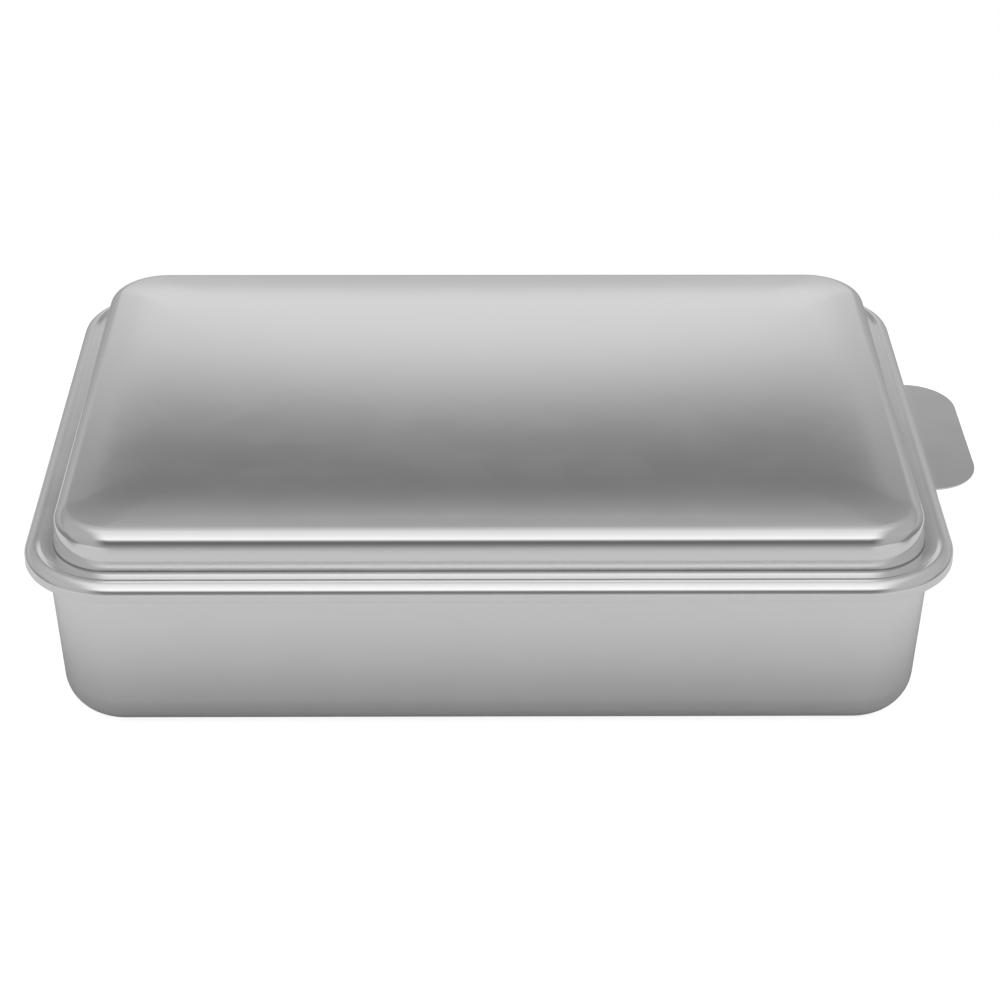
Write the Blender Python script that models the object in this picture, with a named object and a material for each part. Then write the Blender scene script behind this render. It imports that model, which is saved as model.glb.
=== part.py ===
"""A covered cake pan, in metres, with +Z up and the pan's underside on Z = 0.

Two pressings of stainless sheet make it. The pan is a deep-drawn tub with drafted walls and a flange
whose edge is rolled under into a bead. The lid is a crowned panel on a short skirt that stands in a
gutter, and its own rim is a channel that drops over the bead. One lifting tab is folded out of the lid's
lip, on the right end.

Both pressings are drawn over one plan: the rounded rectangle of the pan's inside at the brim. A profile
gives every bend as a distance out from that plan and a height, and the sheet is lofted along it.
"""

import math

import bmesh
import bpy

MM = 0.001

# The pan, measured inside
PAN_LENGTH = 336.2 * MM  # between the end walls, at the brim
PAN_WIDTH = 234.2 * MM  # between the long walls, at the brim
PAN_CORNER = 27.2 * MM  # plan radius of a corner, at the brim
PAN_HEIGHT = 72.2 * MM  # underside to flange top
PAN_SHEET = 0.7 * MM
PAN_FLOOR_RADIUS = 15.3 * MM  # where the walls turn into the floor
PAN_DRAFT = 3.0  # degrees that the walls lean out

# The pan's flange, and the bead that its edge is rolled into: a wide bend first, and then a tight one
BRIM_RADIUS = 2.7 * MM  # where the walls turn out into the flange
FLANGE_FLAT = 2.14 * MM  # level part of the flange
BEAD_TOP_RADIUS = 3.1 * MM
BEAD_TOP_TURN = 59.0  # degrees of the wide bend
BEAD_RADIUS = 2.4 * MM
BEAD_TURN = 270.0  # degrees that the edge is rolled through in all

# How the lid sits on the pan
SEAT_GAP = 0.3 * MM  # between the flange and the lid that rests on it
CHANNEL_GAP = 0.4 * MM  # between the bead and the channel around it

# The lid's rim, gutter and skirt
LID_SHEET = 0.7 * MM
LIP_DEPTH = 3.0 * MM  # straight part of the lip, below the rim's bend
FLANK_FALL = 20.0  # degrees that the rim's inner flank falls to the gutter
FLANK_LENGTH = 0.54 * MM
GUTTER_BEND = 1.5 * MM  # where the flank turns into the gutter's floor
GUTTER_FLAT = 3.8 * MM  # straight part of the gutter's floor
GUTTER_FALL = 3.0  # degrees that its floor falls inwards
GUTTER_FILLET = 1.0 * MM  # where its floor turns up into the skirt
SKIRT_HEIGHT = 10.4 * MM  # from the gutter's lowest line to the shoulder
SKIRT_DRAFT = 4.0  # degrees that the skirt leans in
SHOULDER_RADIUS = 6.0 * MM  # where the skirt turns over into the top

# The lid's top
CROWN_SLOPE = 7.0  # degrees that the top rises where it leaves the shoulder
CROWN_RUN = 38.0 * MM  # how far in from the shoulder that rise dies away
CROWN_SWELL = 1.2 * MM  # further rise of the middle over the long and the short sides
SWELL_EASE = 12.0 * MM  # how far in from the shoulder the swell has fully begun
CORNER_EASE = 6.0 * MM  # how far in the corners of the top stop following the shoulder's
CORNER_OPENING = 0.15  # how fast their radius grows from there

# The lifting tab
TAB_REACH = 19.4 * MM
TAB_LENGTH = 91.0 * MM  # along the rim
TAB_EDGE = 48.0 * MM  # straight part of its outer edge
TAB_RELIEF = 1.0 * MM  # stretch of lip beside the tab that its fold pulls on

# How finely round shapes are divided
CORNER_STEPS = 14
FLOOR_STEPS = 6
BRIM_STEPS = 4
BEAD_TOP_STEPS = 4
BEAD_STEPS = 10
RIM_TOP_STEPS = 5
RIM_SIDE_STEPS = 2
GUTTER_BEND_STEPS = 2
FILLET_STEPS = 3
SHOULDER_STEPS = 6
CROWN_STEPS = 8
CROWN_SPREAD = 1.6  # how much wider the top's loops are spaced towards its middle
CROWN_REACH = 0.88  # share of the top's half width that the loops cover
TAB_CORNER_STEPS = 8


def clear_scene():
    for item in list(bpy.data.objects):
        bpy.data.objects.remove(item, do_unlink=True)


def along(angle, length):
    """The step of a length at an angle in a profile's plane; 0 degrees is outwards and 90 is up."""
    return length * math.cos(math.radians(angle)), length * math.sin(math.radians(angle))


def moved(point, step):
    return point[0] + step[0], point[1] + step[1]


def arc(centre, radius, start, end, steps):
    angles = [start + (end - start) * step / steps for step in range(steps + 1)]
    return [moved(centre, along(angle, radius)) for angle in angles]


def plan_loop(out, height, radius=None):
    """A level loop at a distance out from the brim, from the right side's far end round to its near end."""
    half_length = PAN_LENGTH / 2 + out
    half_width = PAN_WIDTH / 2 + out
    if radius is None:
        radius = PAN_CORNER + out
    points = []
    for quarter, (side_x, side_y) in enumerate(((1, 1), (-1, 1), (-1, -1), (1, -1))):
        centre_x = side_x * (half_length - radius)
        centre_y = side_y * (half_width - radius)
        for step in range(CORNER_STEPS + 1):
            angle = math.radians(90 * (quarter + step / CORNER_STEPS))
            x = centre_x + radius * math.cos(angle)
            y = centre_y + radius * math.sin(angle)
            points.append((x, y, height))
    return points


def loft(bm, loops):
    """A skin through the loops, facing left of their run; the first loop is closed by a panel."""
    rings = [[bm.verts.new(point) for point in loop] for loop in loops]
    bm.faces.new(rings[0])
    for inner, outer in zip(rings, rings[1:]):
        for a in range(len(inner)):
            b = (a + 1) % len(inner)
            bm.faces.new((inner[a], outer[a], outer[b], inner[b]))
    return rings


def steel(name, roughness):
    material = bpy.data.materials.new(name)
    material.use_nodes = True
    shader = material.node_tree.nodes["Principled BSDF"]
    shader.inputs["Base Color"].default_value = (0.60, 0.60, 0.60, 1.0)
    shader.inputs["Metallic"].default_value = 1.0
    shader.inputs["Roughness"].default_value = roughness
    return material


def pressing(name, bm, sheet, material, height=0.0):
    """The object of a skin, with the sheet's thickness added behind it."""
    mesh = bpy.data.meshes.new(name)
    bm.to_mesh(mesh)
    bm.free()
    mesh.materials.append(material)
    mesh.shade_smooth()
    item = bpy.data.objects.new(name, mesh)
    item.location.z = height
    bpy.context.scene.collection.objects.link(item)
    thickness = item.modifiers.new("Sheet", "SOLIDIFY")
    thickness.thickness = sheet
    thickness.offset = -1.0
    thickness.use_even_offset = True
    thickness.use_quality_normals = True
    return item


def flange_start():
    """How far out from the brim the wall's bend ends and the flange begins."""
    draft = math.radians(PAN_DRAFT)
    return BRIM_RADIUS * (math.cos(draft) - (1 - math.sin(draft)) * math.tan(draft))


def bead_out():
    """How far out from the brim the bead's outer side stands."""
    wider = BEAD_TOP_RADIUS - BEAD_RADIUS
    return flange_start() + FLANGE_FLAT + BEAD_RADIUS + along(90 - BEAD_TOP_TURN, wider)[0]


def pan_profile():
    """The pan's inner skin, from the edge of its floor to the end of the bead."""
    draft = math.radians(PAN_DRAFT)
    floor_z = PAN_SHEET + PAN_FLOOR_RADIUS
    wall_foot_z = floor_z - PAN_FLOOR_RADIUS * math.sin(draft)
    wall_foot = -(PAN_HEIGHT - wall_foot_z) * math.tan(draft)
    floor_centre = (wall_foot - PAN_FLOOR_RADIUS * math.cos(draft), floor_z)
    brim_centre = (flange_start(), PAN_HEIGHT - BRIM_RADIUS)
    eased = 90 - BEAD_TOP_TURN
    wide = (flange_start() + FLANGE_FLAT, PAN_HEIGHT - BEAD_TOP_RADIUS)
    tight = moved(wide, along(eased, BEAD_TOP_RADIUS - BEAD_RADIUS))
    path = arc(floor_centre, PAN_FLOOR_RADIUS, -90, -PAN_DRAFT, FLOOR_STEPS)
    path += arc(brim_centre, BRIM_RADIUS, 180 - PAN_DRAFT, 90, BRIM_STEPS)
    path += arc(wide, BEAD_TOP_RADIUS, 90, eased, BEAD_TOP_STEPS)
    path += arc(tight, BEAD_RADIUS, eased, 90 - BEAD_TURN, BEAD_STEPS)[1:]
    return path


def make_pan():
    bm = bmesh.new()
    loft(bm, [plan_loop(out, height) for out, height in pan_profile()])
    return pressing("pan", bm, PAN_SHEET, steel("pan_steel", 0.22))


def lid_profile():
    """The lid's outer skin, from the edge of its top to the foot of its lip.

    The rim's two bends are those of the pan's bead, wider by the gap and the sheet. Height 0 is where the
    lid rests: the underside of the gutter's floor, at its outer edge.
    """
    around = CHANNEL_GAP + LID_SHEET
    eased = 90 - BEAD_TOP_TURN
    tight = (bead_out() - BEAD_RADIUS, 0.0)
    wide = moved(tight, along(180 + eased, BEAD_TOP_RADIUS - BEAD_RADIUS))
    rim = arc(wide, BEAD_TOP_RADIUS + around, 90 + FLANK_FALL, eased, RIM_TOP_STEPS)
    rim += arc(tight, BEAD_RADIUS + around, eased, 0, RIM_SIDE_STEPS)[1:]
    rim.append(moved(rim[-1], (0, -LIP_DEPTH)))
    flank_foot = moved(rim[0], along(180 + FLANK_FALL, FLANK_LENGTH))
    bend_centre = moved(flank_foot, along(90 + FLANK_FALL, GUTTER_BEND))
    bend = arc(bend_centre, GUTTER_BEND, 270 + GUTTER_FALL, 270 + FLANK_FALL, GUTTER_BEND_STEPS)
    gutter_foot = moved(bend[0], along(180 + GUTTER_FALL, GUTTER_FLAT))
    fillet_centre = moved(gutter_foot, along(90 + GUTTER_FALL, GUTTER_FILLET))
    fillet = arc(fillet_centre, GUTTER_FILLET, 180 + SKIRT_DRAFT, 270 + GUTTER_FALL, FILLET_STEPS)
    head_z = fillet_centre[1] - GUTTER_FILLET + SKIRT_HEIGHT
    head_out = fillet[0][0] - (head_z - fillet[0][1]) * math.tan(math.radians(SKIRT_DRAFT))
    shoulder_centre = moved((head_out, head_z), along(180 + SKIRT_DRAFT, SHOULDER_RADIUS))
    shoulder = arc(shoulder_centre, SHOULDER_RADIUS, 90 - CROWN_SLOPE, SKIRT_DRAFT, SHOULDER_STEPS)
    lift = LID_SHEET / math.cos(math.radians(GUTTER_FALL)) - bend[0][1]
    return [moved(point, (0, lift)) for point in shoulder + fillet + bend + rim]


def crown_corner(inset, radius, half_width):
    """Plan radius of the top's corners: it shrinks as the shoulder's does at first, and then opens."""
    settled = (1 + CORNER_OPENING) * CORNER_EASE * (1 - math.exp(-inset / CORNER_EASE))
    return min(radius + CORNER_OPENING * inset - settled, 0.9 * (half_width - inset))


def crown_rise(inset, length_share, width_share):
    """How far the top has risen at an inset from its edge, and at a share of its half length and width."""
    left = max(0.0, 1 - inset / CROWN_RUN)
    roll = CROWN_RUN * math.tan(math.radians(CROWN_SLOPE)) / 3 * (1 - left**3)
    begun = min(1.0, inset / SWELL_EASE)
    swell = CROWN_SWELL * (1 - width_share**2) * (1 - length_share**6)
    return roll + swell * begun**2 * (3 - 2 * begun)


def crown_loops(edge_out, edge_z):
    """The loops of the lid's top, from its middle towards its edge."""
    half_length = PAN_LENGTH / 2 + edge_out
    half_width = PAN_WIDTH / 2 + edge_out
    loops = []
    for step in range(CROWN_STEPS, 0, -1):
        inset = CROWN_REACH * half_width * (step / CROWN_STEPS) ** CROWN_SPREAD
        radius = crown_corner(inset, PAN_CORNER + edge_out, half_width)
        loop = plan_loop(edge_out - inset, edge_z, radius)
        loops.append([(x, y, z + crown_rise(inset, x / half_length, y / half_width)) for x, y, z in loop])
    return loops


def tab_outline(root_x, height):
    """The tab's free edge, from its near end to its far end, with a quarter of an ellipse at each corner."""
    half_edge = TAB_EDGE / 2
    corner = (TAB_LENGTH - TAB_EDGE) / 2
    points = []
    for side in (-1, 1):
        turn = []
        for step in range(1, TAB_CORNER_STEPS + 1):
            angle = math.radians(90 * step / TAB_CORNER_STEPS)
            x = root_x + TAB_REACH * math.sin(angle)
            y = side * (half_edge + corner * math.cos(angle))
            turn.append((x, y, height))
        points += turn if side < 0 else turn[::-1]
    return points


def split_lip(bm, lip, stops):
    """Points at the stops along the lip's right side, which runs from its last point to its first."""
    corner, points = lip[-1], []
    edge = bm.edges.get((corner, lip[0]))
    for stop in stops:
        span = lip[0].co.y - corner.co.y
        edge, corner = bmesh.utils.edge_split(edge, corner, (stop - corner.co.y) / span)
        points.append(corner)
        edge = bm.edges.get((corner, lip[0]))
    return points


def make_lid():
    profile = lid_profile()
    loops = crown_loops(*profile[0])
    loops += [plan_loop(out, height) for out, height in profile]
    bm = bmesh.new()
    lip = loft(bm, loops)[-1]
    half_tab = TAB_LENGTH / 2
    stops = (-half_tab - TAB_RELIEF, -half_tab, half_tab, half_tab + TAB_RELIEF)
    near_root, far_root = split_lip(bm, lip, stops)[1:3]
    free_edge = [bm.verts.new(point) for point in tab_outline(near_root.co.x, near_root.co.z)]
    bm.faces.new([far_root, near_root] + free_edge)
    return pressing("lid", bm, LID_SHEET, steel("lid_steel", 0.12), PAN_HEIGHT + SEAT_GAP)


clear_scene()
make_pan()
make_lid()
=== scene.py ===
# %% [markdown]
# # A covered cake pan
#
# A deep oblong pan of stainless steel, with a crowned lid that drops over its rolled rim. Both are single
# pressings: one sheet of steel each, only bent and drawn, never joined. That makes the work short to list and
# hard to fake, because polished steel shows nothing of its own colour. What one sees is the room, bent by
# every curve of the sheet. So the lesson spends its time on three things: true bends, a studio worth
# reflecting, and a steel with just enough unevenness to look rolled and pressed.

import math

import bmesh
import bpy
from mathutils import Euler, Matrix, Vector


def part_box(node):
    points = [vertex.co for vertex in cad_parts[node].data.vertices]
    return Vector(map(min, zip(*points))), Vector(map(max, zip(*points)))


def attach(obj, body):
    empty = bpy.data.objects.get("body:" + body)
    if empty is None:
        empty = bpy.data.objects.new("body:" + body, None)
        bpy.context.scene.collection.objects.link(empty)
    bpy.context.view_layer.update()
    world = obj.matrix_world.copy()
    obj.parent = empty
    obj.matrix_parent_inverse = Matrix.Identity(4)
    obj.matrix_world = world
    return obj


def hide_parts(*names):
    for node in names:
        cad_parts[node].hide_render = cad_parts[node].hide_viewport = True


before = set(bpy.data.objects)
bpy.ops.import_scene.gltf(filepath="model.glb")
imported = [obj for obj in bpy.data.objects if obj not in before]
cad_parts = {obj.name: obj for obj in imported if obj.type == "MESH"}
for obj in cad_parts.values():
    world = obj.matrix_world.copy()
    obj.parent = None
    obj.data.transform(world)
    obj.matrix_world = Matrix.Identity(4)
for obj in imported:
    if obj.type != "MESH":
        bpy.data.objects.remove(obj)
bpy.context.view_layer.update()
print("frame holds", sorted(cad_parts))

# %% [markdown]
# ## The camera
#
# A small product is photographed with a long lens from about a metre, looking down so far that the lid's top
# and the front wall both show. The numbers come from fitting a camera to the outline of the pan in the
# photograph. The picture is square, so the sensor's width is also its height.

# %% Set up the camera
MM = 0.001
CAMERA_PLACE = (-5.6 * MM, -938.3 * MM, 587.0 * MM)
CAMERA_TILT = 59.63  # degrees up from looking straight down
CAMERA_ROLL = -0.207
CAMERA_TURN = -0.521
CAMERA_LENS = 93.7  # in mm, as cameras say it
CAMERA_SENSOR = 36.0
NEAR_LIMIT = 0.01  # nothing closer than this, in metres, is seen

camera = bpy.data.objects.new("camera", bpy.data.cameras.new("camera"))
camera.location = CAMERA_PLACE
camera.rotation_euler = Euler([math.radians(a) for a in (CAMERA_TILT, CAMERA_ROLL, CAMERA_TURN)])
camera.data.sensor_width = CAMERA_SENSOR
camera.data.lens = CAMERA_LENS
camera.data.clip_start = NEAR_LIMIT
bpy.context.scene.collection.objects.link(camera)
bpy.context.scene.camera = camera
bpy.context.scene.view_settings.view_transform = "Standard"
print("camera is", round(camera.location.length / MM), "mm from the middle of the pan's foot")

# %% [markdown]
# ## Helpers for nodes
#
# Materials and the world are graphs of nodes. A helper that adds a node, sets its values and wires its inputs
# in one call keeps each graph short enough to read. The next ones do the same for arithmetic, for carrying a
# value from one range to another, for a grey made from a number, and for a ramp of greys.

# %% Write the helpers for nodes
def node(tree, kind, inputs=None, **settings):
    made = tree.nodes.new(kind)
    for name, value in settings.items():
        setattr(made, name, value)
    for name, value in (inputs or {}).items():
        if isinstance(value, bpy.types.NodeSocket):
            tree.links.new(value, made.inputs[name])
        else:
            made.inputs[name].default_value = value
    return made


def maths(tree, operation, *values):
    return node(tree, "ShaderNodeMath", dict(enumerate(values)), operation=operation).outputs[0]


def between(tree, value, low, high, to_low=0.0, to_high=1.0, kind="LINEAR"):
    """A value that runs from to_low to to_high while the given one runs from low to high."""
    span = {"Value": value, "From Min": low, "From Max": high, "To Min": to_low, "To Max": to_high}
    return node(tree, "ShaderNodeMapRange", span, interpolation_type=kind).outputs["Result"]


def as_grey(tree, level):
    """A colour of three equal parts."""
    parts = {"Red": level, "Green": level, "Blue": level}
    return node(tree, "ShaderNodeCombineColor", parts).outputs["Color"]


def grey_ramp(tree, factor, stops):
    """Greys that ease from stop to stop. The stops are a dict of places from 0 to 1 and their levels."""
    made = node(tree, "ShaderNodeValToRGB", {"Fac": factor})
    made.color_ramp.interpolation = "EASE"
    for _ in range(len(stops) - 2):  # a new ramp has two stops
        made.color_ramp.elements.new(0.5)
    for element, (place, level) in zip(made.color_ramp.elements, sorted(stops.items())):
        element.position = place
        element.color = (level, level, level, 1.0)
    return made.outputs["Color"]


print("node helpers are ready")

# %% [markdown]
# Some finishes and painted shades follow the pan's plan: the shade that the pan throws on the table, painted
# into the card, and the groove round its lid, which is smoother on its floor and has a painted shade in its
# corner. The plan is a rounded rectangle, and the distance from one is short arithmetic. Fold the plane into
# one quarter, move the origin to that corner's centre, and measure from there.

# %% Write the helper for the plan
def off_plan(tree, place, half, radius):
    """How far outside a rounded rectangle a point lies, from above. Inside, it sinks to minus the radius."""

    def vector(operation, first, *second):
        inputs = dict(enumerate((first, *second)))
        return node(tree, "ShaderNodeVectorMath", inputs, operation=operation).outputs

    level = vector("MULTIPLY", place, (1.0, 1.0, 0.0))["Vector"]
    folded = vector("ABSOLUTE", level)["Vector"]
    past = vector("SUBTRACT", folded, (half[0] - radius, half[1] - radius, 0.0))["Vector"]
    only_past = vector("MAXIMUM", past, (0.0, 0.0, 0.0))["Vector"]
    return maths(tree, "SUBTRACT", vector("LENGTH", only_past)["Value"], radius)


print("the plan helper is ready")

# %% [markdown]
# ## The studio
#
# Polished steel is drawn by what stands round it, so the room is designed like a set of cards and lamps. Going
# over the pan from back to front there is a lit back wall, a dark gap above it, a pale ceiling that grows
# brighter towards the camera and ends in a strip lamp, and the dark room behind the camera. To the left and
# right the cards at the back hang a little lower, the ones in front a little higher, and then they end. Past
# them the room is a darker and more even grey.
#
# This could be built from planes that glow. A world that is painted by direction gives the same reflections
# with no grain and no edges to hide, so that is used here. The stops say how bright the room is, by the angle
# from the back horizon over the top: 90 is straight up and 180 is the front horizon.

# %% Name the cards and lamps of the room
ROOM_STOPS = {
    -30: 0.30,
    -8: 0.42,
    8: 0.53,
    16: 0.64,
    24.7: 0.83,  # back wall, where it is brightest
    31.4: 0.225,  # the gap over it
    43: 0.37,
    46.5: 0.58,
    94: 0.92,  # ceiling
    115: 1.02,
    136: 1.16,  # strip lamp
    140.5: 1.12,
    145: 1.05,
    149: 0.56,
    157: 0.27,
    161.5: 0.175,
    166: 0.155,  # dark room
    175: 0.18,
    190: 0.29,
    205: 0.42,
}
SIDE_STOPS = {
    -30: 0.28,
    -8: 0.40,
    10: 0.46,
    25: 0.52,
    29: 0.42,
    33: 0.40,
    60: 0.48,
    130: 0.50,
    205: 0.46,
}
ROOM_TOP = max(ROOM_STOPS.values())
print(len(ROOM_STOPS), "stops round the room and", len(SIDE_STOPS), "at its sides")

# %% [markdown]
# The world asks in which direction a ray leaves. Its Y and Z give the angle over the top, and its X says how
# far to the side it looks, as a sine. An angle jumps where it has gone all the way round, so the direction is
# turned first, which puts that seam under the floor.

# %% Measure where a ray looks
ROOM_SEAM = 40  # degrees that the direction is turned
CARD_SAG = 37  # degrees that the cards would shift towards the back where a ray looks straight to the side
SAG_CURVE = 2.0  # the power by which the shift grows
SAG_END = 0.28  # how far to the side it goes on growing

world = bpy.data.worlds.new("studio")
world.use_nodes = True
bpy.context.scene.world = world
tree = world.node_tree
tree.nodes.clear()


def round_share(angle):
    """Where an angle over the top lies on a ramp that runs once round the room."""
    return (angle - ROOM_SEAM + 180) / 360


direction = node(tree, "ShaderNodeTexCoord").outputs["Generated"]
seam = {"Vector": direction, "Angle": math.radians(-ROOM_SEAM)}
turned = node(tree, "ShaderNodeVectorRotate", seam, rotation_type="X_AXIS").outputs["Vector"]
part = node(tree, "ShaderNodeSeparateXYZ", {"Vector": turned}).outputs
aside = maths(tree, "ABSOLUTE", part["X"])
sagging = maths(tree, "POWER", maths(tree, "MINIMUM", aside, SAG_END), SAG_CURVE)
sag = maths(tree, "MULTIPLY", sagging, CARD_SAG / 360)
angle = maths(tree, "ARCTAN2", part["Z"], part["Y"])
over = maths(tree, "ADD", between(tree, angle, -math.pi, math.pi), sag)
print("straight up lies at", round(round_share(90), 3), "of the way round")

# %% [markdown]
# Two ramps hold the middle of the room and its sides, and the sideways look fades one into the other. The
# cards behind the pan are narrower than the ceiling and what stands in front, so there are two fades. A Mix
# node has sockets for each kind of value, so its inputs go by number here: 2 and 3 take numbers, and 6 and 7
# take colours. The camera itself sees plain white behind the pan.

# %% Paint the room
BACK_CARDS = (0.135, 0.375)  # how far to the side the back cards start and end their fade
FRONT_CARDS = (0.22, 0.62)
CEILING = (47, 80)  # the angles over which the back cards give way to the wider ceiling
WHITE = (1.0, 1.0, 1.0, 1.0)

cards, sides = [
    grey_ramp(tree, over, {round_share(a): level / ROOM_TOP for a, level in stops.items()})
    for stops in (ROOM_STOPS, SIDE_STOPS)
]
back_fade = between(tree, aside, *BACK_CARDS, kind="SMOOTHSTEP")
front_fade = between(tree, aside, *FRONT_CARDS, kind="SMOOTHSTEP")
ceiling = between(tree, over, round_share(CEILING[0]), round_share(CEILING[1]))
fade = node(tree, "ShaderNodeMix", {0: ceiling, 2: back_fade, 3: front_fade}).outputs[0]
room = node(tree, "ShaderNodeMix", {0: fade, 6: cards, 7: sides}, data_type="RGBA").outputs[2]
studio = node(tree, "ShaderNodeBackground", {"Color": room, "Strength": ROOM_TOP})
plain_white = node(tree, "ShaderNodeBackground", {"Color": WHITE, "Strength": 1.0})
camera_ray = node(tree, "ShaderNodeLightPath").outputs["Is Camera Ray"]
seen = node(tree, "ShaderNodeMixShader", {0: camera_ray, 1: studio.outputs[0], 2: plain_white.outputs[0]})
node(tree, "ShaderNodeOutputWorld", {"Surface": seen.outputs[0]})
print("the brightest lamp shows at", ROOM_TOP)

# %% [markdown]
# ## The floor
#
# The pan stands on a sheet of white card. Its front edge ends just outside the picture, as the card on a
# photographer's table does, so that low reflections in the front look past it into the dark room. It is short
# behind the pan and beside it too, because the lid's ends would mirror a longer card as a bright line.

# %% Lay the floor
FLOOR_FRONT = -0.325  # metres from the middle of the pan
FLOOR_BACK = 0.24
FLOOR_SIDE = 0.34
FLOOR_DROP = 0.2 * MM  # so that card and pan don't share a plane

bm = bmesh.new()
bmesh.ops.create_grid(bm, x_segments=1, y_segments=1, size=1.0)
bmesh.ops.scale(bm, verts=bm.verts[:], vec=(FLOOR_SIDE, (FLOOR_BACK - FLOOR_FRONT) / 2, 1.0))
bmesh.ops.translate(bm, verts=bm.verts[:], vec=(0.0, (FLOOR_BACK + FLOOR_FRONT) / 2, -FLOOR_DROP))
mesh = bpy.data.meshes.new("floor")
bm.to_mesh(mesh)
bm.free()
floor = bpy.data.objects.new("floor", mesh)
bpy.context.scene.collection.objects.link(floor)
print("floor is", FLOOR_SIDE * 2, "m wide")

# %% [markdown]
# Close to the pan the card is shaded by it, and the steel shows that: its wall turns dark towards the foot.
# Ambient occlusion could darken the card there, but it is grainy and slow. So the shade is painted into the
# card's grey, by the distance from the pan's plan, which gives the same soft edge for nothing. The card that
# the steel mirrors also glows a little, a painted glow that stands in for a small lamp of its own.
#
# The camera sees the same card under a veil of light, so that it reads as white paper and keeps only the faint
# shadow that a bright table shows.

# %% Paint the card
CARD_WHITE = 0.96
# the strength of the card's painted glow, in place of a lamp over it
CARD_GLOW = 0.07
SHADE_REACH = 73 * MM  # how far from the pan its shade ends
SHADE_DEPTH = 0.46  # how much darker the card is right under the rim
SHADE_FADE = 1.23  # how softly the shade runs out
SHADE_CORNER = 35 * MM  # the shade is rounded like the pan's rim
SEEN_WHITE = 0.60  # what the camera sees of the card
SEEN_GLOW = 0.84  # the veil over it

card = bpy.data.materials.new("white_card")
card.use_nodes = True
tree = card.node_tree
tree.nodes.clear()
seen_white = (SEEN_WHITE, SEEN_WHITE, SEEN_WHITE, 1.0)
open_card = node(tree, "ShaderNodeBsdfDiffuse", {"Color": seen_white}).outputs[0]
glow = node(tree, "ShaderNodeEmission", {"Strength": SEEN_GLOW}).outputs[0]
photographed = node(tree, "ShaderNodeAddShader", {0: open_card, 1: glow}).outputs[0]

place = node(tree, "ShaderNodeTexCoord").outputs["Object"]
# painted shadow: the card's grey darkens by its distance from the pan's plan, for every ray but the camera's
away = off_plan(tree, place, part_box("pan")[1], SHADE_CORNER)
near = maths(tree, "MAXIMUM", between(tree, away, SHADE_REACH, 0.0), 0.0)
shade = maths(tree, "MULTIPLY", maths(tree, "POWER", near, SHADE_FADE), SHADE_DEPTH)
white = maths(tree, "MULTIPLY", maths(tree, "SUBTRACT", 1.0, shade), CARD_WHITE)
grey_card = as_grey(tree, white)
lit_card = node(tree, "ShaderNodeBsdfDiffuse", {"Color": grey_card}).outputs[0]
# painted glow: the card gives off a little light of its own, in the card's shaded grey
lamp = node(tree, "ShaderNodeEmission", {"Color": grey_card, "Strength": CARD_GLOW}).outputs[0]
shaded_card = node(tree, "ShaderNodeAddShader", {0: lit_card, 1: lamp}).outputs[0]

camera_ray = node(tree, "ShaderNodeLightPath").outputs["Is Camera Ray"]
seen = node(tree, "ShaderNodeMixShader", {0: camera_ray, 1: shaded_card, 2: photographed})
node(tree, "ShaderNodeOutputMaterial", {"Surface": seen.outputs[0]})
mesh.materials.append(card)
print("the card is darkest at", round(CARD_WHITE * (1 - SHADE_DEPTH), 2))

# %% [markdown]
# ## How a pressing is built
#
# Cut a pressing across and its section is a chain of straights and bends, as a line drawn by a pen that only
# knows two moves. The same section runs all the way round the pan. So each piece is made like this: draw the
# section at one corner, spin it a quarter turn round that corner's centre, pull both ends straight to the
# middle of the sides, and mirror the quarter twice. Every bend is then a true arc, and the corners need no
# modelling of their own.
#
# The plan's sizes come from the frame: the lid's box, less the reach of its rim and of the pan's rolled rim
# inside that, is the pan's opening at the brim. The rolled rim is a level flange, a wide bend and a tight bend.

# %% Take the sizes from the frame
SHEET = 0.7 * MM
PAN_CORNER = 27.2 * MM
DRAFT = 3.0  # degrees that the walls lean out
BRIM_RADIUS = 2.7 * MM  # where the walls turn out into the flange
FLANGE_FLAT = 2.14 * MM
WIDE_RADIUS = 3.1 * MM
WIDE_TURN = 59.0  # degrees of the wide bend, before the tight one
BEAD_RADIUS = 2.4 * MM
CHANNEL_GAP = 0.4 * MM  # between the pan's rolled rim and the lid's rim round it

lean = math.radians(DRAFT)
eased = math.radians(90 - WIDE_TURN)
flange_start = BRIM_RADIUS * (math.cos(lean) - (1 - math.sin(lean)) * math.tan(lean))
bead_out = flange_start + FLANGE_FLAT + (WIDE_RADIUS - BEAD_RADIUS) * math.cos(eased) + BEAD_RADIUS
around = CHANNEL_GAP + SHEET
rim_out = bead_out + around

pan_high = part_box("pan")[1]
lid_low, lid_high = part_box("lid")
HALF_LENGTH = -lid_low.x - rim_out
HALF_WIDTH = lid_high.y - rim_out
PAN_HEIGHT = pan_high.z
CORNER = Vector((HALF_LENGTH - PAN_CORNER, HALF_WIDTH - PAN_CORNER, 0.0))
print("opening", round(2 * HALF_LENGTH / MM, 1), "by", round(2 * HALF_WIDTH / MM, 1), "mm")

# %% [markdown]
# The pen works in the upright plane where a corner meets the end wall. Its heading is an angle: 0 is outwards
# and 90 is up. A straight extrudes the last point, and a bend spins it round the bend's centre.

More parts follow.
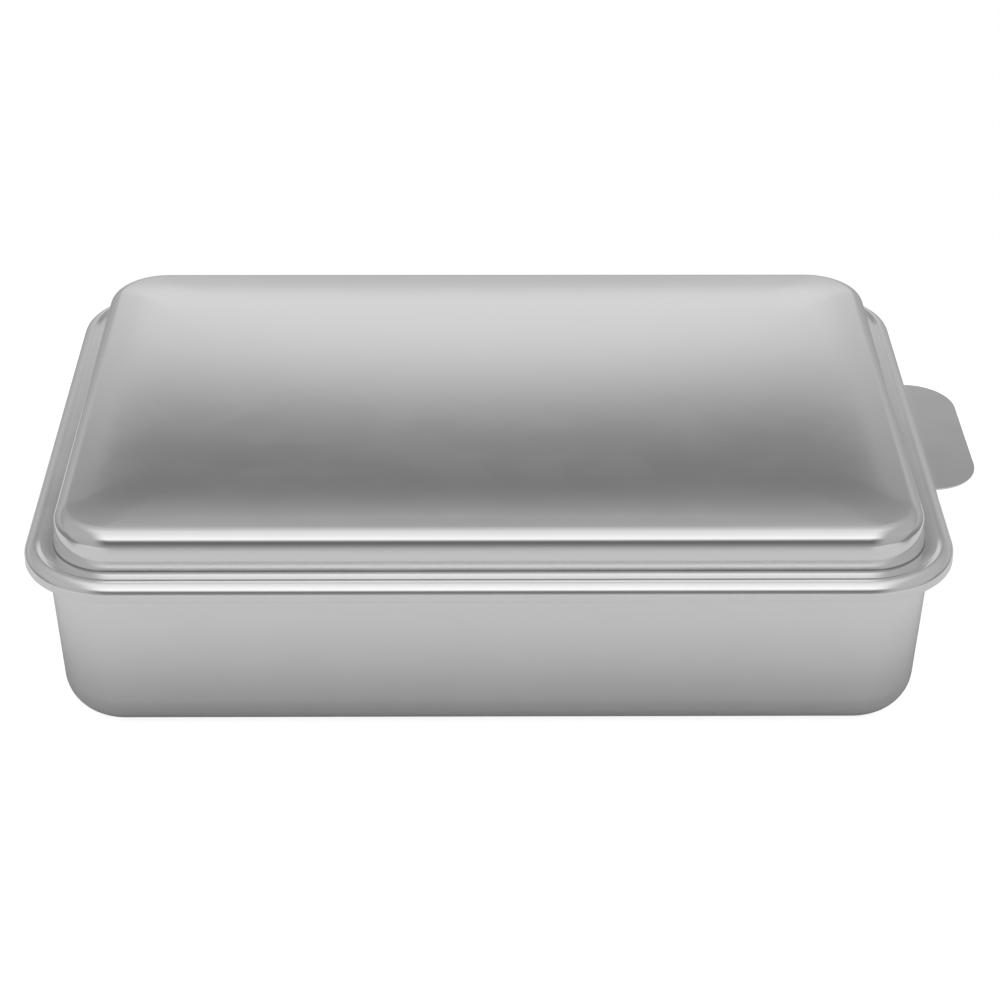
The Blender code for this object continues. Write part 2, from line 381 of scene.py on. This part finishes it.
# %% Make the pen
class Pen:
    def __init__(self, bm, out, height, heading):
        self.bm = bm
        self.tip = bmesh.ops.create_vert(bm, co=(HALF_LENGTH + out, CORNER.y, height))["vert"][0]
        self.heading = math.radians(heading)

    def towards(self, angle, length):
        return Vector((math.cos(angle), 0.0, math.sin(angle))) * length

    def straight(self, length, steps=1):
        for _ in range(steps):
            self.tip = bmesh.ops.extrude_vert_indiv(self.bm, verts=[self.tip])["verts"][0]
            step = self.towards(self.heading, length / steps)
            bmesh.ops.translate(self.bm, verts=[self.tip], vec=step)

    def bend(self, radius, turn, steps):
        """A positive turn goes to the left of the heading and a negative one to the right."""
        turn = math.radians(turn)
        centre = self.tip.co + self.towards(self.heading + math.copysign(math.pi / 2, turn), radius)
        made = bmesh.ops.spin(
            self.bm, geom=[self.tip], cent=centre, axis=(0, -1, 0), angle=turn, steps=steps)
        self.tip = next(item for item in made["geom_last"] if isinstance(item, bmesh.types.BMVert))
        self.heading += turn


print("the pen is ready")

# %% [markdown]
# The next helper takes a finished section round its corner and along both sides, to the middle. A stop is
# where an edge runs across a side. The end side has one where the lid's tab will start, and one just beside it,
# for the short stretch of lip that the tab's fold pulls on.

# %% Sweep a section round a quarter of the plan
CORNER_STEPS = 32
TAB_HALF_LENGTH = 44.3 * MM
TAB_RELIEF = 1.0 * MM
LONG_STOPS = [stop * MM for stop in (138, 120, 90, 60, 30, 0)]  # measured from the middle
END_STOPS = [80 * MM, 62 * MM, TAB_HALF_LENGTH + TAB_RELIEF, TAB_HALF_LENGTH]
END_STOPS += [stop * MM for stop in (36, 27, 18, 9, 0)]


def unique(items):
    """Each item once, in the order in which they come. A set would shuffle them from run to run."""
    return list(dict.fromkeys(items))


def pull(bm, edges, vec):
    """Extrudes edges, and returns the new ones."""
    made = bmesh.ops.extrude_edge_only(bm, edges=edges)["geom"]
    verts = [item for item in made if isinstance(item, bmesh.types.BMVert)]
    fresh = set(verts)
    bmesh.ops.translate(bm, verts=verts, vec=vec)
    return [e for e in unique(e for v in verts for e in v.link_edges) if set(e.verts) <= fresh]


def sweep(bm):
    section = bm.edges[:]
    turned = bmesh.ops.spin(
        bm, geom=bm.verts[:] + section, cent=CORNER, axis=(0, 0, 1), angle=math.pi / 2, steps=CORNER_STEPS)
    far = [item for item in turned["geom_last"] if isinstance(item, bmesh.types.BMEdge)]
    at = CORNER.y
    for stop in END_STOPS:
        section = pull(bm, section, (0.0, stop - at, 0.0))
        at = stop
    at = CORNER.x
    for stop in LONG_STOPS:
        far = pull(bm, far, (stop - at, 0.0, 0.0))
        at = stop


print("corner centre at", [round(c / MM, 1) for c in CORNER])

# %% [markdown]
# When a quarter is whole it is mirrored to a half and then to the full skin, and the hole that is left in the
# middle is closed with one face.

# %% Mirror and close a skin
TOUCH = 0.001 * MM  # points this close are one point
MIRROR_SEAM = 0.01 * MM  # how close the halves have to lie at the seam to be joined


def mirrored(bm, axis):
    bmesh.ops.mirror(bm, geom=bm.verts[:] + bm.edges[:] + bm.faces[:], axis=axis, merge_dist=MIRROR_SEAM)
    bmesh.ops.remove_doubles(bm, verts=bm.verts[:], dist=TOUCH)


def close_middle(bm):
    """Fills the hole round the centre, and turns every face towards the side that the room sees."""
    inner = [e for e in bm.edges if e.is_boundary]
    loop = [min(inner, key=lambda e: abs(e.verts[0].co.y) + abs(e.verts[0].co.x))]
    for edge in loop:  # the loop grows by its edges' neighbours while it is read, until it is closed
        loop += [e for v in edge.verts for e in v.link_edges if e.is_boundary and e not in loop]
    panel = bmesh.ops.edgeloop_fill(bm, edges=loop)["faces"][0]
    bmesh.ops.recalc_face_normals(bm, faces=bm.faces[:])
    if panel.normal.z < 0:
        bmesh.ops.reverse_faces(bm, faces=bm.faces[:])


print("halves are joined where they are within", round(MIRROR_SEAM / MM, 3), "mm")

# %% [markdown]
# The skin then gets the sheet's thickness behind it. The cut edges of real sheet are a little rounded by
# deburring. A narrow bevel does that, and only there: everywhere else the sheet turns gently from face to face.

# %% Finish a skin into a sheet
CUT_EDGE = math.radians(60)  # edges that turn further than this are where the sheet was cut
DEBURR = 0.12 * MM
DEBURR_STEPS = 2
ROUND = 0.5  # the profile of a round bevel
SMOOTH_LIMIT = math.radians(20)  # the shading runs over edges that turn less than this


def thicken(bm, sheet):
    bmesh.ops.solidify(bm, geom=bm.faces[:], thickness=sheet)
    edges = [e for e in bm.edges if e.is_manifold and e.calc_face_angle() > CUT_EDGE]
    bmesh.ops.bevel(
        bm, geom=edges, offset=DEBURR, segments=DEBURR_STEPS, profile=ROUND, affect="EDGES", material=-1)
    for face in bm.faces:
        face.smooth = True
    for edge in bm.edges:
        edge.smooth = edge.is_manifold and edge.calc_face_angle() < SMOOTH_LIMIT


def piece(bm, name):
    mesh = bpy.data.meshes.new(name)
    bm.to_mesh(mesh)
    bm.free()
    item = bpy.data.objects.new(name, mesh)
    bpy.context.scene.collection.objects.link(item)
    size = [round(s / MM, 1) for s in item.dimensions]
    print(name, "has", len(mesh.polygons), "faces, and is", size, "mm")
    return item


print("cut edges are rounded by", round(DEBURR / MM, 3), "mm")

# %% [markdown]
# ## The pan
#
# From the floor's edge the sheet bends up with a generous radius, which is what lets so deep a tub be drawn
# without tearing. The wall leans out by three degrees so that the punch lets go. At the brim it turns out
# flat into a flange, and its edge is rolled under into a bead, which hides the raw edge and stiffens the rim.
# The pen draws the upper skin, the one that food would touch.

# %% Draw and build the pan
FLOOR_RADIUS = 15.3 * MM

wall_foot_z = SHEET + FLOOR_RADIUS * (1 - math.sin(lean))
wall_head_z = PAN_HEIGHT - BRIM_RADIUS * (1 - math.sin(lean))
wall_foot = -(PAN_HEIGHT - wall_foot_z) * math.tan(lean)
bm = bmesh.new()
pen = Pen(bm, wall_foot - FLOOR_RADIUS * math.cos(lean), SHEET, 0)
pen.bend(FLOOR_RADIUS, 90 - DRAFT, steps=14)
pen.straight((wall_head_z - wall_foot_z) / math.cos(lean), steps=3)
pen.bend(BRIM_RADIUS, DRAFT - 90, steps=8)
pen.straight(FLANGE_FLAT)
pen.bend(WIDE_RADIUS, -WIDE_TURN, steps=8)
pen.bend(BEAD_RADIUS, WIDE_TURN - 270, steps=20)
sweep(bm)
mirrored(bm, "X")
mirrored(bm, "Y")
close_middle(bm)
thicken(bm, SHEET)
pan = piece(bm, "pan_tub")

# %% [markdown]
# ## The lid
#
# The lid's section is drawn from the outside in: up the lip, over the rim, down its inner flank, along a
# gutter, up the skirt and over the shoulder. The rim goes round the pan's rolled edge with the same two bends,
# wider by a clearance and the sheet, and that is what keeps the lid from sliding. It stands a little proud of
# the gutter, and its flank is the thin dark line that runs along the front of the lid. The gutter's floor
# falls a little towards the skirt. It looks bright in the photograph although nothing bright stands behind the
# pan, because it mirrors the skirt, and the skirt mirrors the lamp.

# %% Draw the lid's edge
SEAT_GAP = 0.3 * MM  # between the pan's flange and the lid that rests on it
LIP_DEPTH = 3.0 * MM
FLANK_FALL = 20.0  # degrees that the rim's inner flank falls to the gutter
FLANK_LENGTH = 0.54 * MM
GUTTER_BEND = 1.5 * MM
GUTTER_FLAT = 4.1 * MM
GUTTER_FALL = 1.5  # degrees that its floor falls inwards
GUTTER_FILLET = 0.7 * MM
SKIRT_HEIGHT = 10.3 * MM
SKIRT_DRAFT = 4.0  # degrees that the skirt leans in
SHOULDER_RADIUS = 6.0 * MM
CROWN_SLOPE = 7.0  # degrees that the top rises where it leaves the shoulder

fall, flank = math.radians(GUTTER_FALL), math.radians(FLANK_FALL)
rim_rise = (WIDE_RADIUS + around) * math.cos(flank) - (WIDE_RADIUS - BEAD_RADIUS) * math.sin(eased)
rim_fall = FLANK_LENGTH * math.sin(flank) + GUTTER_BEND * (math.cos(fall) - math.cos(flank))
seat_z = PAN_HEIGHT + SEAT_GAP + SHEET / math.cos(fall)  # where the flank's bend meets the gutter's floor
lip_z = seat_z + rim_fall - rim_rise - LIP_DEPTH
bm = bmesh.new()
pen = Pen(bm, rim_out, lip_z, 90)
pen.straight(LIP_DEPTH)
pen.bend(BEAD_RADIUS + around, 90 - WIDE_TURN, steps=6)
pen.bend(WIDE_RADIUS + around, WIDE_TURN + FLANK_FALL, steps=16)
pen.straight(FLANK_LENGTH)
pen.bend(GUTTER_BEND, GUTTER_FALL - FLANK_FALL, steps=5)
print("the gutter's outer edge is", round((pen.tip.co.z - seat_z) / MM, 4), "mm off its seat")
pen.straight(GUTTER_FLAT, steps=2)
skirt_head = pen.tip.co.z - GUTTER_FILLET * (1 - math.cos(fall)) + SKIRT_HEIGHT
pen.bend(GUTTER_FILLET, SKIRT_DRAFT - 90 - GUTTER_FALL, steps=9)
pen.straight((skirt_head - pen.tip.co.z) / math.cos(math.radians(SKIRT_DRAFT)), steps=2)
pen.bend(SHOULDER_RADIUS, 90 - SKIRT_DRAFT - CROWN_SLOPE, steps=16)
crown_edge = pen.tip.co.copy()
print("the lid's top starts at", round(crown_edge.x / MM, 2), "and", round(crown_edge.z / MM, 2), "mm")
sweep(bm)

# %% [markdown]
# The top can't be swept, because its bends die away towards the middle. It is drawn in, loop by loop: each
# extrusion of the inner edge is moved inwards, and its corner is scaled about the corner's own centre. A drawn
# lid keeps its corners round as the loops shrink, so the radius first follows the shoulder, and then opens
# slowly. Then each point is lifted: steeply next to the shoulder, where the panel rolls off, and by a gentle
# swell over the whole panel, which stops it from drumming.

# %% Write the rules of the crown
CROWN_RUN = 38.0 * MM  # how far in the top still rises from its roll-off
CROWN_SWELL = 1.2 * MM
SWELL_EASE = 12.0 * MM  # how far in the swell is fully there
SWELL_ACROSS, SWELL_ALONG = 2, 6  # powers: a higher one gives a flatter middle that falls later
CORNER_EASE = 6.0 * MM  # how far in the corners stop following the shoulder's
CORNER_OPENING = 0.15  # how fast their radius grows from there
CORNER_LIMIT = 0.9  # share of the half width still left that a corner may take up

half_top = Vector((crown_edge.x, crown_edge.x - HALF_LENGTH + HALF_WIDTH))
start_radius = PAN_CORNER + crown_edge.x - HALF_LENGTH


def crown_radius(inset):
    settled = (1 + CORNER_OPENING) * CORNER_EASE * (1 - math.exp(-inset / CORNER_EASE))
    return min(start_radius + CORNER_OPENING * inset - settled, CORNER_LIMIT * (half_top.y - inset))


def crown_rise(inset, place):
    """The roll-off starts at CROWN_SLOPE, and its slope dies away as the square of the run that is left."""
    left = max(0.0, 1 - inset / CROWN_RUN)
    roll = CROWN_RUN * math.tan(math.radians(CROWN_SLOPE)) / 3 * (1 - left**3)
    begun = min(1.0, inset / SWELL_EASE)
    eased_in = begun**2 * (3 - 2 * begun)
    across = 1 - (place.y / half_top.y) ** SWELL_ACROSS
    along = 1 - (place.x / half_top.x) ** SWELL_ALONG
    return roll + CROWN_SWELL * across * along * eased_in


middle_rise = crown_rise(half_top.y, Vector((0.0, 0.0)))
print("the middle stands", round(middle_rise / MM, 2), "mm over the shoulder")

# %% [markdown]
# The loops lie close together next to the shoulder, where the reflections bend most, and wider apart towards
# the middle. A loop has three parts, and each moves in its own way: the round corner is scaled and shifted,
# and the two straight parts only move inwards and shrink to meet it.

# %% Draw in the crown
CROWN_LOOPS = 34
CROWN_REACH = 0.96  # share of the half width that the loops cover
LOOP_SPREAD = 1.6  # 1 would space the loops evenly


def on_crown_edge(edge):
    return edge.is_boundary and all(abs(v.co.z - crown_edge.z) < TOUCH for v in edge.verts)


loop = [e for e in bm.edges if on_crown_edge(e)]
centre, inset, radius = CORNER.copy(), 0.0, start_radius
for number in range(1, CROWN_LOOPS + 1):
    next_inset = CROWN_REACH * half_top.y * (number / CROWN_LOOPS) ** LOOP_SPREAD
    next_radius = crown_radius(next_inset)
    inwards = next_inset - inset
    shift = inwards - radius + next_radius
    loop = pull(bm, loop, (0.0, 0.0, 0.0))
    verts = unique(v for e in loop for v in e.verts)
    at_end = [v for v in verts if v.co.y < centre.y - TOUCH]
    at_side = [v for v in verts if v.co.x < centre.x - TOUCH]
    round_corner = [v for v in verts if v not in at_end and v not in at_side]
    about = Matrix.Translation(-centre)
    grown = next_radius / radius
    bmesh.ops.scale(bm, verts=round_corner, vec=(grown, grown, 1.0), space=about)
    bmesh.ops.translate(bm, verts=round_corner, vec=(-shift, -shift, 0.0))
    bmesh.ops.translate(bm, verts=at_end, vec=(-inwards, 0.0, 0.0))
    bmesh.ops.translate(bm, verts=at_side, vec=(0.0, -inwards, 0.0))
    bmesh.ops.scale(bm, verts=at_end, vec=(1.0, (centre.y - shift) / centre.y, 1.0))
    bmesh.ops.scale(bm, verts=at_side, vec=((centre.x - shift) / centre.x, 1.0, 1.0))
    for vert in verts:
        vert.co.z = crown_edge.z + crown_rise(next_inset, vert.co)
    centre -= Vector((shift, shift, 0.0))
    inset, radius = next_inset, next_radius
mirrored(bm, "X")
print("the loops end", round((half_top.y - inset) / MM, 1), "mm from the middle line")

# %% [markdown]
# ## The tab
#
# The tab is the lip's own sheet, folded out at a right angle on the right end. Its fold is a tight bend with a
# small relief at each end, where the blank was nipped so that the fold doesn't drag the lip with it. Only one
# end has a tab, so the quarter is by now a half that runs from end to end, and its second mirror waits until
# the tab is on. A spin about the fold's centre line makes the fold, as a folding machine would.

# %% Fold out the tab
TAB_LIFT = 1.1 * MM  # how far over the lip's foot it is folded
FOLD_RADIUS = 0.9 * MM
FOLD_STEPS = 6


def in_tab(vert):
    low = abs(vert.co.z - lip_z) < TOUCH
    return low and vert.co.x > HALF_LENGTH and vert.co.y < TAB_HALF_LENGTH + TOUCH


root = [e for e in bm.edges if e.is_boundary and all(in_tab(v) for v in e.verts)]
root_verts = unique(v for e in root for v in e.verts)
bmesh.ops.translate(bm, verts=root_verts, vec=(0.0, 0.0, TAB_LIFT + FOLD_RADIUS))
fold_centre = (HALF_LENGTH + rim_out + FOLD_RADIUS, 0.0, lip_z + TAB_LIFT + FOLD_RADIUS)
folded = bmesh.ops.spin(
    bm, geom=root_verts + root, cent=fold_centre, axis=(0, -1, 0), angle=math.pi / 2, steps=FOLD_STEPS)
row = [item for item in folded["geom_last"] if isinstance(item, bmesh.types.BMEdge)]
print("the fold is", len(root), "edges wide")

# %% [markdown]
# Rows are pulled outwards one by one and narrowed as they go, which rounds the two outer corners as a quarter
# of an ellipse. The half lid is then mirrored, closed and thickened, as the pan was.

# %% Draw out the tab and finish the lid
TAB_REACH = 19.4 * MM
TAB_HALF_EDGE = 24.0 * MM  # half of its straight outer edge
TAB_ROWS = 14

first = math.asin(FOLD_RADIUS / TAB_REACH)
reach, width = FOLD_RADIUS, TAB_HALF_LENGTH
for number in range(1, TAB_ROWS + 1):
    angle = first + (math.pi / 2 - first) * number / TAB_ROWS
    next_reach = TAB_REACH * math.sin(angle)
    next_width = TAB_HALF_EDGE + (TAB_HALF_LENGTH - TAB_HALF_EDGE) * math.cos(angle)
    row = pull(bm, row, (next_reach - reach, 0.0, 0.0))
    verts = unique(v for e in row for v in e.verts)
    bmesh.ops.scale(bm, verts=verts, vec=(1.0, next_width / width, 1.0))
    reach, width = next_reach, next_width
mirrored(bm, "Y")
close_middle(bm)
thicken(bm, SHEET)
lid = piece(bm, "lid_cover")

# %% [markdown]
# ## Steel
#
# Stainless steel needs few settings: fully metallic, a neutral grey, and a roughness that says how it was
# finished. The pan is satin from foot to brim. The lid is polished on top and duller at the skirt's foot, where
# the polishing wheel hardly reaches, and its rim is a paler grey, which makes its reflections brighter. Those
# follow the height over the brim, so a finish is a list of heights with a grey and a roughness. Roughness stays
# under 0.27, because the renderer's denoiser takes rougher steel for a matt surface, and where the haze crosses
# that line it leaves small marks.
#
# Height can't tell the gutter's floor from its corner, so the distance from the pan's opening does: the floor
# is a little smoother, and the corner at the skirt's foot gets a painted shade, a darker grey.

# %% Name the finishes
PAN_FINISH = {-72.0: (0.85, 0.24), 0.0: (0.85, 0.24)}
LID_FINISH = {  # mm over the pan's brim: grey and roughness
    -6.0: (0.79, 0.20),  # the lip
    -2.6: (0.79, 0.20),
    -1.8: (0.88, 0.20),  # the rim
    1.6: (0.88, 0.20),
    2.0: (0.85, 0.235),  # the skirt's foot
    4.6: (0.83, 0.235),
    6.4: (0.80, 0.085),  # the skirt, and the top over it
    20.0: (0.80, 0.085),
}
GUTTER_TOP = (1.8 * MM, 1.4 * MM)  # heights over the brim between which the gutter's own finish sets in
GROOVE = (2.0 * MM, -1.0 * MM)  # distances from the opening between which the floor gets smoother
GROOVE_SMOOTHER = 0.07
CORNER_SHADE_LINE = (-1.8 * MM, -2.2 * MM)  # and between which the painted shade in the corner sets in
# how much the painted shade darkens the grey in the corner
CORNER_PAINTED_SHADE = 0.65
print("the lid's finish has", len(LID_FINISH), "stops")

# %% [markdown]
# What makes steel look real is that none of this is quite even. Rolling leaves long faint streaks, drawing
# leaves a slow waviness that bends reflections by a fraction of a degree, and handling leaves a mottled haze.
# All of it is noise at different scales, read from Object coordinates, so that it stays on the sheet when a
# piece moves.

# %% Write the parts of a steel
MOTTLE = 42.0  # scales of the noises: higher is finer
STREAK = 500.0
STREAK_STRETCH = (0.03, 1.0, 1.0)  # streaks run from left to right
WAVE = 16.0
GRAIN = 260.0
NOISE_FADE = 0.55  # how much each finer layer of a noise keeps
MOTTLE_SHARE = 0.7  # of the haze, and streaks are the rest
TINT = 0.025  # how far the grey strays


def noise(tree, place, scale, detail, stretch=(1.0, 1.0, 1.0)):
    laid = node(tree, "ShaderNodeMapping", {"Vector": place, "Scale": stretch}).outputs["Vector"]
    inputs = {"Vector": laid, "Scale": scale, "Detail": detail, "Roughness": NOISE_FADE}
    return node(tree, "ShaderNodeTexNoise", inputs).outputs["Fac"]


def finish_by_height(tree, height, finish):
    """The grey and the roughness at a height."""
    low, high = min(finish), max(finish)
    level = between(tree, height, PAN_HEIGHT + low * MM, PAN_HEIGHT + high * MM)
    return [
        grey_ramp(tree, level, {(at - low) / (high - low): pair[which] for at, pair in finish.items()})
        for which in (0, 1)
    ]


def gutter_shares(tree, place, height):
    """How much of a point is in the gutter's smooth groove, and how much in its corner, where shade is painted.
    """
    over_brim = maths(tree, "GREATER_THAN", height, PAN_HEIGHT)
    low = between(tree, height, *(PAN_HEIGHT + top for top in GUTTER_TOP))
    in_gutter = maths(tree, "MULTIPLY", low, over_brim)
    away = off_plan(tree, place, (HALF_LENGTH, HALF_WIDTH), PAN_CORNER)
    past_lines = [between(tree, away, *line) for line in (GROOVE, CORNER_SHADE_LINE)]
    return [maths(tree, "MULTIPLY", in_gutter, past) for past in past_lines]


print("the noises run from", WAVE, "to", STREAK)

# %% [markdown]
# A steel adds these up. The haze goes on the roughness and the mottle on the grey. The waviness and the grain
# go into the normal as bumps of a known height, so that they can be set as on a real sheet: the waves are
# hundredths of a millimetre high at most, and the grain is less than a thousandth.

# %% Make the steels
def steel(name, finish, haze, wave, grain):
    """haze is how far the roughness varies. wave and grain are heights, of the drawing and the surface."""
    material = bpy.data.materials.new(name)
    material.use_nodes = True
    tree = material.node_tree
    shader = tree.nodes["Principled BSDF"]
    place = node(tree, "ShaderNodeTexCoord").outputs["Object"]
    height = node(tree, "ShaderNodeSeparateXYZ", {"Vector": place}).outputs["Z"]
    mottle = noise(tree, place, MOTTLE, detail=4.0)
    streak = noise(tree, place, STREAK, detail=2.0, stretch=STREAK_STRETCH)
    mottled = maths(tree, "MULTIPLY", mottle, MOTTLE_SHARE)
    mixed = maths(tree, "ADD", mottled, maths(tree, "MULTIPLY", streak, 1.0 - MOTTLE_SHARE))

    grey, rough = finish_by_height(tree, height, finish)
    in_groove, in_shaded_corner = gutter_shares(tree, place, height)
    rough = maths(tree, "SUBTRACT", rough, maths(tree, "MULTIPLY", in_groove, GROOVE_SMOOTHER))
    uneven = maths(tree, "ADD", rough, between(tree, mixed, 0.0, 1.0, -haze, haze))
    tree.links.new(uneven, shader.inputs["Roughness"])

    # painted shade: the grey darkens in the gutter's corner at the skirt's foot
    grey = maths(tree, "MULTIPLY", grey, between(tree, in_shaded_corner, 0.0, 1.0, 1.0, 1.0 - CORNER_PAINTED_SHADE))
    tint = maths(tree, "ADD", grey, between(tree, mottle, 0.0, 1.0, -TINT, TINT))
    tree.links.new(as_grey(tree, tint), shader.inputs["Base Color"])
    shader.inputs["Metallic"].default_value = 1.0

    waviness = {"Height": noise(tree, place, WAVE, detail=1.0), "Distance": wave, "Strength": 1.0}
    slow = node(tree, "ShaderNodeBump", waviness).outputs["Normal"]
    grains = noise(tree, place, GRAIN, detail=3.0)
    texture = {"Height": grains, "Distance": grain, "Strength": 1.0, "Normal": slow}
    fine = node(tree, "ShaderNodeBump", texture).outputs["Normal"]
    tree.links.new(fine, shader.inputs["Normal"])
    return material


HAZE = 0.05
satin = steel("satin_steel", PAN_FINISH, HAZE, wave=0.02 * MM, grain=0.0004 * MM)
polished = steel("polished_steel", LID_FINISH, HAZE, wave=0.006 * MM, grain=0.0003 * MM)
pan.data.materials.append(satin)
lid.data.materials.append(polished)
print("steels:", satin.name, polished.name)

# %% [markdown]
# ## Hand over to the frame
#
# Each pressing rides on its body and stands in for its CAD node, which is hidden.

# %% Tie the pieces to the frame
for item, body, slot in ((pan, "pan", "pan_steel"), (lid, "lid", "lid_steel")):
    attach(item, body)
    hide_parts(body)
